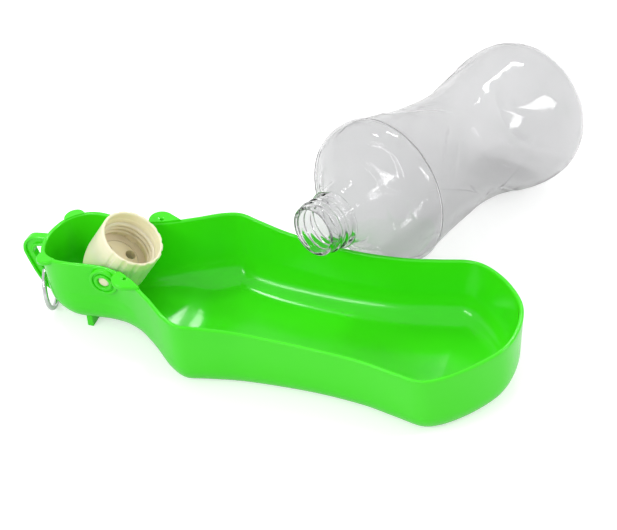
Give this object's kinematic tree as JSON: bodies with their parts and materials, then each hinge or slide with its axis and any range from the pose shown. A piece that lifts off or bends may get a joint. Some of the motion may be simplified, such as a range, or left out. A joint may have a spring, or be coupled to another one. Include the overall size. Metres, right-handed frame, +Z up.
{
  "type": "dog travel water bottle",
  "caption": "Travel water bottle for a dog: clear squeeze bottle unscrewed beside a leaf-shaped drinking tray with a tilting screw cap, carry loop and key ring.",
  "frame": {"origin": "on the floor, under the middle of the tray's length, on the tray's middle plane", "axes": "+X along the tray from its head with the cap to the far rounded end, +Y to the side where the bottle lies, +Z up"},
  "size_m": [0.2502, 0.2281, 0.0889],
  "materials": {
    "green_plastic": "smooth moulded, slightly translucent",
    "cream_plastic": "smooth moulded",
    "gasket_rubber": "soft, matt",
    "clear_plastic": "clear blown plastic, glossy",
    "ring_steel": "polished, nickel plated"
  },
  "bodies": {
    "tray_body": {"tray": "green_plastic", "carry_loop": "green_plastic"},
    "cap_body": {"cap": "cream_plastic", "mouth_gasket": "gasket_rubber", "valve_seal": "gasket_rubber"},
    "valve_body": {"valve_plate": "cream_plastic"},
    "ring_body": {"key_ring": "ring_steel"},
    "bottle_body": {"bottle": "clear_plastic"}
  },
  "joints": [
    {"name": "cap_tilt", "type": "hinge", "parent": "tray_body", "child": "cap_body", "pos_m": [-0.0795, 0, 0.036], "axis": [0, 1, 0], "range_deg": [-76, 57.4]},
    {"name": "valve_turn", "type": "hinge", "parent": "cap_body", "child": "valve_body", "pos_m": [-0.0795, 0, 0.036], "axis": [0.5373, 0, 0.8434], "range_deg": [0, 60]},
    {"name": "ring_swing", "type": "hinge", "parent": "tray_body", "child": "ring_body", "pos_m": [-0.118, -0.002, 0.02], "axis": [0, 0, 1], "range_deg": [-3, 3]},
    {"name": "bottle_lift", "type": "slide", "parent": "tray_body", "child": "bottle_body", "axis": [0, 0, 1], "range_m": [0, 0.12]}
  ]
}
